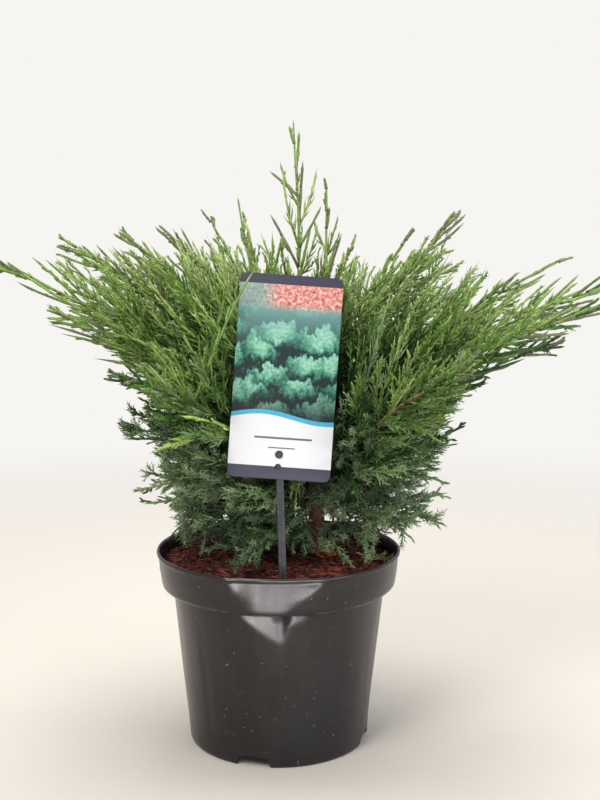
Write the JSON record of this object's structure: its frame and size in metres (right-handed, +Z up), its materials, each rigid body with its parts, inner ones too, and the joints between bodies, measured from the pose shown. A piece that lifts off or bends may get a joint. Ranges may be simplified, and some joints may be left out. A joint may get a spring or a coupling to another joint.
{
  "type": "potted juniper",
  "caption": "Young spreading savin juniper in a round black nursery pot, with feathery upswept plumes, a whip leader and an upright plant label on a stem.",
  "frame": {"origin": "centre of the pot's flat underside, on the surface that it stands on", "axes": "+Z up the plant, -Y towards the front that carries the label, +X to the right seen from the front"},
  "size_m": [0.5153, 0.3341, 0.4765],
  "materials": {
    "black_plastic": "thin black injection-moulded plastic, semi-gloss",
    "peat": "moist dark reddish-brown fibrous potting mix",
    "bark": "thin flaking reddish-brown bark",
    "foliage": "soft scale-leaved and needle-leaved shoots, yellow-green at the tips",
    "card": "thin satin plastic card",
    "grey_plastic": "dark grey moulded plastic"
  },
  "bodies": {
    "root": {"pot": "black_plastic", "soil": "peat", "label_card": "card", "label_stem": "grey_plastic", "trunk": "bark", "bough_leader": "bark", "bough_centre_left": "bark", "bough_inner_left": "bark", "bough_top_left": "bark", "bough_high_left": "bark", "bough_upper_left": "bark", "bough_far_left": "bark", "bough_mid_left": "bark", "bough_low_left": "bark", "bough_front_left": "bark", "bough_low_front_left": "bark", "bough_top_right": "bark", "bough_upper_right": "bark", "bough_high_right": "bark", "bough_far_right": "bark", "bough_front_far_right": "bark", "bough_mid_right": "bark", "bough_front_right": "bark", "bough_low_right": "bark", "bough_back_left": "bark", "bough_back": "bark", "bough_back_right": "bark", "bough_low_back_left": "bark", "bough_low_back": "bark", "bough_low_back_right": "bark", "plume_leader": "foliage", "plume_centre_left": "foliage", "plume_centre_right": "foliage", "plume_centre_back": "foliage", "plume_inner_left": "foliage", "plume_top_left": "foliage", "plume_high_left": "foliage", "plume_upper_left": "foliage", "plume_far_left": "foliage", "plume_mid_left": "foliage", "plume_low_left": "foliage", "plume_front_left": "foliage", "plume_low_front_left": "foliage", "plume_foot_left": "foliage", "plume_foot_front": "foliage", "plume_top_right": "foliage", "plume_upper_right": "foliage", "plume_high_right": "foliage", "plume_far_right": "foliage", "plume_front_far_right": "foliage", "plume_mid_right": "foliage", "plume_front_right": "foliage", "plume_low_right": "foliage", "plume_foot_right": "foliage", "plume_back_left": "foliage", "plume_back": "foliage", "plume_back_right": "foliage", "plume_low_back_left": "foliage", "plume_low_back": "foliage", "plume_low_back_right": "foliage"}
  },
  "joints": []
}
